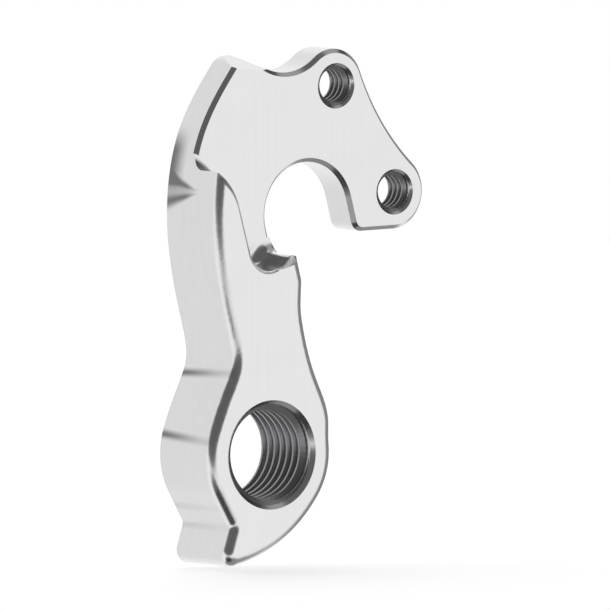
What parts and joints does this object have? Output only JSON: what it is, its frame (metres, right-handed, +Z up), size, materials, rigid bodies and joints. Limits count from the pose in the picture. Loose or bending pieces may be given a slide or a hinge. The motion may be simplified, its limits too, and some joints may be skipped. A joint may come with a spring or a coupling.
{
  "type": "bicycle derailleur hanger",
  "caption": "Milled aluminium hanger that fixes to a bicycle beside the rear axle slot and carries the rear derailleur in a threaded boss below it.",
  "frame": {"origin": "mouth of the derailleur thread, on the outboard face of the arm", "axes": "+X forward on the bicycle, +Y inboard towards the wheel, along the derailleur thread, +Z up"},
  "size_m": [0.0297, 0.0085, 0.0501],
  "materials": {
    "aluminium": "fine satin, as milled"
  },
  "bodies": {
    "root": {"hanger": "aluminium"}
  },
  "joints": []
}
